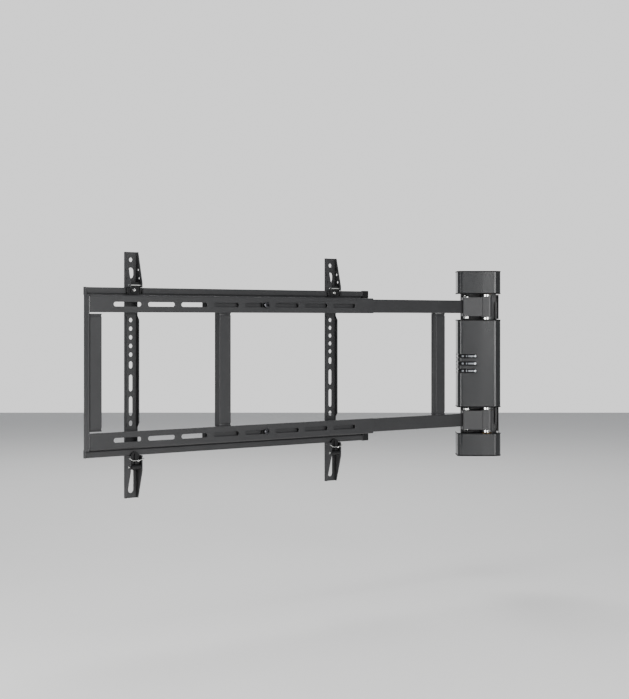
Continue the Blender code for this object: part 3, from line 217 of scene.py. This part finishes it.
# A wave of scale 1 repeats every 0.314 m, so this scale sets the rings 0.65 mm apart.
RING_SCALE = per_metre(0.33) / 6.28
rings = add(steel, "ShaderNodeTexWave", {"Vector": steel_place, "Scale": RING_SCALE,
                                         "Distortion": 0.4}, bands_direction="Z")
relieve(steel, steel_shader, rings.outputs["Fac"], 0.3, 0.02)

chrome, chrome_shader, chrome_place = metal("polished_chrome", "#f2f3f5", "#e2e4e8", 0.09, 0.03,
                                            9.0)
wipes = add(chrome, "ShaderNodeTexNoise", {"Vector": chrome_place, "Scale": per_metre(1.5)})
relieve(chrome, chrome_shader, wipes.outputs["Fac"], 0.05, 0.01)

# The strip behind the vents and the outer edges of its three polished bars are painted black:
# painted shade, where the slots around the bars lie in shadow.
VENT_PITCH, BAR_HALF = 15.5 * MM, 1.8 * MM
# Stretches along X are painted black too: those near the corner are painted dark reflection of the
# curved bar, and the one at the inner end is painted shade where the slot ends. Every stretch is
# given by its middle along X and half its length.
SHADE_AND_REFLECTION_STRETCHES = ((-31.2 * MM, 2.4 * MM), (-25.2 * MM, 1.2 * MM), (-4.2 * MM, 2.2 * MM),
                   (-42.5 * MM, 4.8 * MM))
heights = add(chrome, "ShaderNodeSeparateXYZ", {"Vector": chrome_place})
shifted = add(chrome, "ShaderNodeMath", {0: heights.outputs["Z"], 1: VENT_PITCH / 2},
              operation="ADD")
nearest = add(chrome, "ShaderNodeMath", {0: shifted.outputs[0], 1: VENT_PITCH}, operation="SNAP")
off_bar = add(chrome, "ShaderNodeMath", {0: heights.outputs["Z"], 1: nearest.outputs[0]},
              operation="SUBTRACT")
distance = add(chrome, "ShaderNodeMath", {0: off_bar.outputs[0]}, operation="ABSOLUTE")
above = add(chrome, "ShaderNodeMath", {0: distance.outputs[0], 1: BAR_HALF},
            operation="GREATER_THAN")
# The mask gathers the painted shade in the slots and the painted stretches along X.
painted = above
for centre, half in SHADE_AND_REFLECTION_STRETCHES:
    reflection_and_shade_stretch = add(chrome, "ShaderNodeMath", {0: heights.outputs["X"], 1: centre, 2: half},
              operation="COMPARE")
    painted = add(chrome, "ShaderNodeMath", {0: painted.outputs[0], 1: reflection_and_shade_stretch.outputs[0]},
                  operation="MAXIMUM")
bare = add(chrome, "ShaderNodeMath", {0: 1.0, 1: painted.outputs[0]}, operation="SUBTRACT")
polished = chrome_shader.inputs["Base Color"].links[0].from_socket
# Where the mask is set, the chrome is painted near-black and not metallic: painted shade and
# reflection.
split = add(chrome, "ShaderNodeMix", {"Factor": painted.outputs[0], 6: polished,
                                      7: linear("#060606")}, data_type="RGBA")
join(chrome, split.outputs[2], chrome_shader, "Base Color")
join(chrome, bare.outputs[0], chrome_shader, "Metallic")

bronze, bronze_shader, bronze_place = metal("sintered_bronze", "#b08a52", "#86632f", 0.40, 0.08,
                                            2.0)
pores = add(bronze, "ShaderNodeTexVoronoi", {"Vector": bronze_place, "Scale": per_metre(0.25)})
relieve(bronze, bronze_shader, pores.outputs["Distance"], 0.5, 0.03)
print("metals:", zinc.name, steel.name, chrome.name, bronze.name)

# %% [markdown]
# ## The control board
# Solder mask is a clear green lacquer over copper tracks. The tracks show as paler lines, drawn
# here as bricks two millimetres high, and the lacquer over them is glossy.

# %% Solder mask
board_green, board_shader = finish("solder_mask", IOR=1.5, Roughness=0.25)
board_place = add(board_green, "ShaderNodeTexCoord").outputs["Object"]
upright = add(board_green, "ShaderNodeMapping", {"Vector": board_place,
                                                 "Rotation": (math.radians(90), 0.0, 0.0)})
tracks = add(board_green, "ShaderNodeTexBrick", {"Vector": upright.outputs["Vector"],
                                                 "Color1": linear("#14603a"),
                                                 "Color2": linear("#0f5230"),
                                                 "Mortar": linear("#3d8a5c"), "Scale": 1.0,
                                                 "Mortar Size": 0.15 * MM,
                                                 "Brick Width": 7 * MM, "Row Height": 2 * MM})
join(board_green, tracks.outputs["Color"], board_shader, "Base Color")
relieve(board_green, board_shader, tracks.outputs["Fac"], 0.3, 0.03)
print("board:", board_green.name)

# %% [markdown]
# ## Dressing the frame's pieces
# No made thing has a perfectly sharp edge. Sheet steel keeps a radius of a few tenths of a
# millimetre, and the coating rounds it again. Each piece therefore gets three modifiers: one
# joins points that lie together, one merges the flat faces' small triangles, and the last rounds
# every edge sharper than its angle. The shapes themselves stay as they are. The latch wires are
# round already and only take their finish.

# %% Rounded edges and finishes
def dress(names, material, edge_mm, segments=2):
    for name in names:
        piece = nodes[name]
        piece.data.materials.clear()
        piece.data.materials.append(material)
        weld = piece.modifiers.new("joined_points", "WELD")
        weld.merge_threshold = 0.002 * MM
        flats = piece.modifiers.new("whole_flats", "DECIMATE")
        flats.decimate_type = "DISSOLVE"
        flats.angle_limit = math.radians(1.0)
        rounding = piece.modifiers.new("rounded_edges", "BEVEL")
        rounding.width = edge_mm * MM
        rounding.segments = segments
        rounding.limit_method = "ANGLE"
        rounding.angle_limit = math.radians(38)
        rounding.harden_normals = False


pairs = ("upper", "lower")
sides = ("left", "right")
dress([f"{p}_arm_tube" for p in pairs] + ["hinge_brace", "mid_brace", "end_brace", "end_plate"]
      + [f"{p}_channel" for p in pairs] + [f"{s}_bracket" for s in sides], arm_coat, 0.4)
dress(["upper_link", "lower_link"], inner_coat, 0.6)
dress(["wall_channel", "motor_shelf"] + [f"hinge_plate_{n}" for n in ("top", "upper", "lower",
                                                                      "bottom")],
      inner_coat, 0.4)
dress(["top_cap_cover", "centre_cover", "bottom_cap_cover"], satin_covers, 1.1, 3)
dress(["power_socket"] + [f"{p}_rail_cap" for p in pairs] + [f"{s}_hook" for s in sides]
      + [f"{p}_slide_pad" for p in pairs] + [f"{s}_latch" for s in sides], black_nylon, 0.4)
dress([f"{p}_elbow_{k}" for p in pairs for k in ("pin", "nut")]
      + [f"spacer_{w}_{p}_link" for w in ("above", "below") for p in pairs]
      + [f"{s}_{k}" for s in sides for k in ("hook_pin", "hook_screw", "latch_pin")]
      + ["motor_gearbox"], zinc, 0.2)
dress([f"{p}_lock_bolt" for p in pairs], blackened, 0.25)
dress(["drive_shaft", "driven_gear", "motor_pinion", "motor_can"], steel, 0.2)
dress(["vent_trim"], chrome, 0.4, 3)
dress([f"shaft_bush_{n}" for n in ("top", "upper", "lower", "bottom")], bronze, 0.2)
dress(["control_board"], board_green, 0.15, 1)
for side in sides:
    wire = nodes[f"{side}_latch_wire"]
    wire.data.materials.clear()
    wire.data.materials.append(zinc)
print("pieces left undressed:", [n for n, o in nodes.items() if len(o.data.materials) != 1
                                 or o.data.materials[0] is None])

# %% [markdown]
# ## Where the arm lies
# The arm stands 40 degrees off the wall. Its own directions make its pieces easy to place:
# along it, across it towards the room, and up.

# %% Directions of the arm
ELBOW = Vector((-0.025, -0.028, 0.0))
ARM_TURN = math.radians(220)
ALONG = Vector((math.cos(ARM_TURN), math.sin(ARM_TURN), 0.0))
ACROSS = Vector((-math.sin(ARM_TURN), math.cos(ARM_TURN), 0.0))
UP = Vector((0.0, 0.0, 1.0))


def on_arm(along, across, up):
    return ELBOW + along * ALONG + across * ACROSS + up * UP


def new_piece(name, mesh, material, body):
    """Puts a finished mesh in the scene with its material, riding on one body."""
    piece = bpy.data.objects.new(name, mesh)
    bpy.context.scene.collection.objects.link(piece)
    mesh.materials.append(material)
    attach(piece, body)
    return piece


def along_arm(node):
    """The stretch of the arm that one piece takes up."""
    reach = [(v.co - ELBOW).dot(ALONG) for v in nodes[node].data.vertices]
    depth = [(v.co - ELBOW).dot(ACROSS) for v in nodes[node].data.vertices]
    return min(reach), max(reach), min(depth), max(depth)


print("hinge brace, in mm:", [round(v * 1000, 1) for v in along_arm("hinge_brace")])

# %% [markdown]
# ## Welds
# The uprights are welded to the tubes. A weld run is laid in small pools, each a little over the
# last, so it looks like a row of ripples. One run is a thin tube whose rings swell and shrink
# every 1.6 mm and stray a little to the sides, as a hand does.

# %% Weld beads between the uprights and the tubes
POOL_LENGTH = 1.6 * MM
BEAD_RADIUS = 0.85 * MM
OFF_TUBE, OFF_UPRIGHT = 0.9 * MM, 1.1 * MM
BACK_STOP, FRONT_STOP = 3 * MM, 1.5 * MM


def bead(name, start, end, radius, body):
    """One rippled run of weld from start to end, closed at both ends."""
    length = (end - start).length
    run = (end - start).normalized()
    first = UP if abs(run.dot(UP)) < 0.9 else ACROSS
    second = run.cross(first).normalized()
    first = second.cross(run).normalized()
    pools = max(3, round(length / POOL_LENGTH))
    per_pool, around = 4, 12
    work = bmesh.new()
    rings = []
    for step in range(pools * per_pool + 1):
        part = step / (pools * per_pool)
        swell = 1.0 + 0.16 * math.sin(2 * math.pi * step / per_pool)
        taper = min(1.0, 0.35 + 6 * min(part, 1 - part))
        wander = 0.12 * radius * math.sin(1.7 * step)
        middle = start + run * length * part + second * wander
        size = radius * swell * taper
        rings.append([work.verts.new(middle + size * (math.cos(turn) * first
                                                      + math.sin(turn) * second))
                      for turn in [2 * math.pi * k / around for k in range(around)]])
    for one, two in zip(rings, rings[1:]):
        for k in range(around):
            work.faces.new((one[k], one[(k + 1) % around], two[(k + 1) % around], two[k]))
    work.faces.new(list(reversed(rings[0])))
    work.faces.new(rings[-1])
    bmesh.ops.recalc_face_normals(work, faces=work.faces)
    for face in work.faces:
        face.smooth = True
    mesh = bpy.data.meshes.new(name)
    work.to_mesh(mesh)
    work.free()
    return new_piece(name, mesh, arm_coat, body)


TUBE_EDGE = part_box("upper_arm_tube")[0].z
bead_count = 0
for brace in ("hinge_brace", "mid_brace"):
    near, far, back, front = along_arm(brace)
    for level, height in (("upper", TUBE_EDGE - OFF_TUBE), ("lower", -TUBE_EDGE + OFF_TUBE)):
        for edge, at in (("near", near - OFF_UPRIGHT), ("far", far + OFF_UPRIGHT)):
            bead(f"{brace}_{level}_{edge}_weld", on_arm(at, back + BACK_STOP, height),
                 on_arm(at, front - FRONT_STOP, height), BEAD_RADIUS, "swing_arm")
            bead_count += 1
print("weld beads:", bead_count)

# %% [markdown]
# ## Painted shade at the covers' edges
# Each cover ends in a dark strip of painted shade where it faces a link, and at the top and
# bottom, standing in for the dark along the covers' rounded edges. A strip follows the covers'
# plan: a small radius at the left, a shallow crease in the front, and a large radius at the right.

# %% Painted shade at the covers' edges
column_low, column_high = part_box("centre_cover")
HALF_WIDTH = column_high.x
CREASE_FRONT = column_low.y
CREASE_RISE, CREASE_X = 1.6 * MM, 6 * MM
LEFT_RADIUS, RIGHT_RADIUS = 10 * MM, 18 * MM
LEFT_STEPS, RIGHT_STEPS = 12, 16
EDGE_SHADE_BACK = column_high.y
EDGE_SHADE_INSIDE, EDGE_SHADE_OUTSIDE = 0.1 * MM, 0.55 * MM
EDGE_SHADE_HEIGHT, EDGE_SHADE_INSET = 2.2 * MM, 0.2 * MM


def covers_plan(outward):
    """The covers' plan, moved outward, from the wall on the left to the wall on the right."""
    side = HALF_WIDTH + outward
    front = CREASE_FRONT + CREASE_RISE - outward
    left, right = LEFT_RADIUS + outward, RIGHT_RADIUS + outward
    points = [(-side, EDGE_SHADE_BACK)]
    for k in range(LEFT_STEPS + 1):
        turn = math.radians(180 + 90 * k / LEFT_STEPS)
        points.append((left - side + left * math.cos(turn), front + left + left * math.sin(turn)))
    points.append((CREASE_X, front - CREASE_RISE))
    for k in range(RIGHT_STEPS + 1):
        turn = math.radians(270 + 90 * k / RIGHT_STEPS)
        points.append((side - right + right * math.cos(turn),
                       front + right + right * math.sin(turn)))
    points.append((side, EDGE_SHADE_BACK))
    return points


def add_edge_shade_strip(name, low, high):
    """A thin closed strip of painted shade around the covers between two heights."""
    inner, outer = covers_plan(EDGE_SHADE_INSIDE), covers_plan(EDGE_SHADE_OUTSIDE)
    work = bmesh.new()
    rows = []
    for plan, level in ((inner, low), (outer, low), (outer, high), (inner, high)):
        rows.append([work.verts.new((x, y, level)) for x, y in plan])
    for one, two in zip(rows, rows[1:] + rows[:1]):
        for k in range(len(one) - 1):
            work.faces.new((one[k], one[k + 1], two[k + 1], two[k]))
    for end in (0, -1):
        work.faces.new([row[end] for row in rows])
    bmesh.ops.recalc_face_normals(work, faces=work.faces)
    mesh = bpy.data.meshes.new(name)
    work.to_mesh(mesh)
    work.free()
    piece = new_piece(name, mesh, painted_edge_shade, "wall_unit")
    rounding = piece.modifiers.new("rounded_edges", "BEVEL")
    rounding.width = 0.15 * MM
    rounding.segments = 2


# Two strips of painted shade on each cover, along its bottom and top edges.
for cover in ("top_cap_cover", "centre_cover", "bottom_cap_cover"):
    low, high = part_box(cover)[0].z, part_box(cover)[1].z
    add_edge_shade_strip(f"{cover}_lower_trim", low + EDGE_SHADE_INSET, low + EDGE_SHADE_INSET + EDGE_SHADE_HEIGHT)
    add_edge_shade_strip(f"{cover}_upper_trim", high - EDGE_SHADE_INSET - EDGE_SHADE_HEIGHT, high - EDGE_SHADE_INSET)
print("edge_shade_strips run", round(2 * HALF_WIDTH * 1000, 1), "mm wide")

# %% [markdown]
# ## Plugs in the arm tubes
# The tubes' open ends, inside the frame, are closed with ribbed nylon plugs. A plug has a flat
# head the size of the tube and a stem with three ribs that grip the inside. It is drawn as one
# profile along the tube and its corners are rounded.

# %% Tube plugs
TUBE_WALL, CLEARANCE = 2 * MM, 0.3 * MM


def tube_plug(level):
    low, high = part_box(f"{level}_arm_tube")
    _, far, back, front = along_arm(f"{level}_arm_tube")
    middle_z, middle_b = (low.z + high.z) / 2, (back + front) / 2
    half_z, half_b = (high.z - low.z) / 2, (front - back) / 2
    wall = TUBE_WALL + CLEARANCE
    # (distance from the tube's end, how far in from the tube's outline)
    profile = [(-12 * MM, wall + 1.2 * MM), (-9 * MM, wall), (-8 * MM, wall + 0.8 * MM),
               (-6 * MM, wall), (-5 * MM, wall + 0.8 * MM), (-3 * MM, wall),
               (-2 * MM, wall + 0.6 * MM), (0.3 * MM, wall + 0.6 * MM), (0.3 * MM, 0.3 * MM),
               (1.4 * MM, 0.3 * MM), (1.9 * MM, 1.4 * MM)]
    work = bmesh.new()
    rows = []
    for step, inset in profile:
        z, b = half_z - inset, half_b - inset
        rows.append([work.verts.new(on_arm(far + step, middle_b + sb * b, middle_z + sz * z))
                     for sb, sz in ((-1, -1), (1, -1), (1, 1), (-1, 1))])
    for one, two in zip(rows, rows[1:]):
        for k in range(4):
            work.faces.new((one[k], one[(k + 1) % 4], two[(k + 1) % 4], two[k]))
    work.faces.new(rows[0])
    work.faces.new(rows[-1])
    bmesh.ops.recalc_face_normals(work, faces=work.faces)
    mesh = bpy.data.meshes.new(f"{level}_tube_plug")
    work.to_mesh(mesh)
    work.free()
    piece = new_piece(mesh.name, mesh, black_nylon, "swing_arm")
    rounding = piece.modifiers.new("rounded_edges", "BEVEL")
    rounding.width = 0.3 * MM
    rounding.segments = 2
    return far


print("plugs at", [round(tube_plug(p) * 1000, 1) for p in pairs], "mm along the arm")

# %% [markdown]
# ## Floor, light and camera
# The mount hangs over a plain pale floor. The room is white in a cone behind the mount and mid
# grey elsewhere, so that dark pieces stand out and don't reflect white from every side. A large
# soft light at the front on the right draws the folds and fillets, and a narrow one beside the
# camera picks out the covers' crease. A tall narrow light on the left gives the covers their
# second upright highlight. Two more light the top and the back. The camera stands 3.4 m away,
# level with the frame.

# %% Studio
FLOOR_LEVEL = -0.46
floor_mesh = bpy.data.meshes.new("floor")
FLOOR_HALF = 6.0
floor_mesh.from_pydata([(x * FLOOR_HALF, y * FLOOR_HALF, FLOOR_LEVEL)
                        for x, y in ((-1, -1), (1, -1), (1, 1), (-1, 1))], [], [(0, 1, 2, 3)])
floor = bpy.data.objects.new("floor", floor_mesh)
bpy.context.scene.collection.objects.link(floor)
pale_floor, floor_shader = finish("pale_floor", Roughness=0.7)
floor_place = add(pale_floor, "ShaderNodeTexCoord").outputs["Object"]
cloud = add(pale_floor, "ShaderNodeTexNoise", {"Vector": floor_place, "Scale": 1.5})
floor_tone = add(pale_floor, "ShaderNodeMix", {"Factor": cloud.outputs["Fac"],
                                               6: linear("#f4f3f1"), 7: linear("#f8f7f5")},
                 data_type="RGBA")
join(pale_floor, floor_tone.outputs[2], floor_shader, "Base Color")
floor_mesh.materials.append(pale_floor)

room = bpy.data.worlds.new("pale_room")
room.use_nodes = True
sky = room.node_tree.nodes["Background"]
direction = add(room, "ShaderNodeTexCoord").outputs["Generated"]
parts = add(room, "ShaderNodeSeparateXYZ", {"Vector": direction})
# Straight into the wall is 1: the cone is fully white within 16 degrees and gone at 35.
CONE_EDGE, CONE_CORE = 0.82, 0.96
backward = add(room, "ShaderNodeMapRange", {"Value": parts.outputs["Y"], "From Min": CONE_EDGE,
                                            "From Max": CONE_CORE})
room_tone = add(room, "ShaderNodeMix", {"Factor": backward.outputs["Result"],
                                        6: linear("#8f9194"), 7: linear("#ffffff")},
                data_type="RGBA")
room.node_tree.links.new(room_tone.outputs[2], sky.inputs["Color"])
sky.inputs["Strength"].default_value = 1.25
bpy.context.scene.world = room


def soft_light(name, place, target, wide, tall, watts):
    lamp = bpy.data.lights.new(name, "AREA")
    lamp.shape = "RECTANGLE"
    lamp.size, lamp.size_y, lamp.energy = wide, tall, watts
    holder = bpy.data.objects.new(name, lamp)
    holder.location = place
    aim = (Vector(target) - Vector(place)).to_track_quat("-Z", "Y")
    holder.rotation_euler = aim.to_euler()
    bpy.context.scene.collection.objects.link(holder)


COLUMN, MID_ARM, MID_FRAME = (0.0, 0.0, 0.0), (-0.2, -0.2, 0.0), (-0.3, -0.2, 0.0)
soft_light("key_light", (1.5, -2.7, 0.6), MID_ARM, wide=0.9, tall=1.9, watts=60)
soft_light("crease_light", (0.42, -3.4, 0.1), COLUMN, wide=0.30, tall=1.9, watts=14)
soft_light("strip_light", (-1.9, -1.8, 0.1), COLUMN, wide=0.28, tall=1.9, watts=44)
soft_light("top_light", (-0.4, -0.6, 2.2), MID_FRAME, wide=1.2, tall=1.2, watts=14)
soft_light("back_light", (-0.9, 2.4, 2.6), MID_FRAME, wide=1.6, tall=1.2, watts=60)

LENS_MM, SHIFT_DOWN = 81.06, -0.0422
CAMERA_PLACE = (-0.349, -3.381, 0.092)
camera_data = bpy.data.cameras.new("camera")
camera_data.lens = LENS_MM
camera_data.shift_y = SHIFT_DOWN
camera = bpy.data.objects.new("camera", camera_data)
camera.location = CAMERA_PLACE
camera.rotation_euler = (math.radians(90), 0.0, 0.0)
bpy.context.scene.collection.objects.link(camera)
bpy.context.scene.camera = camera
print("camera", [round(v, 3) for v in camera.location], "lens", camera_data.lens, "mm")
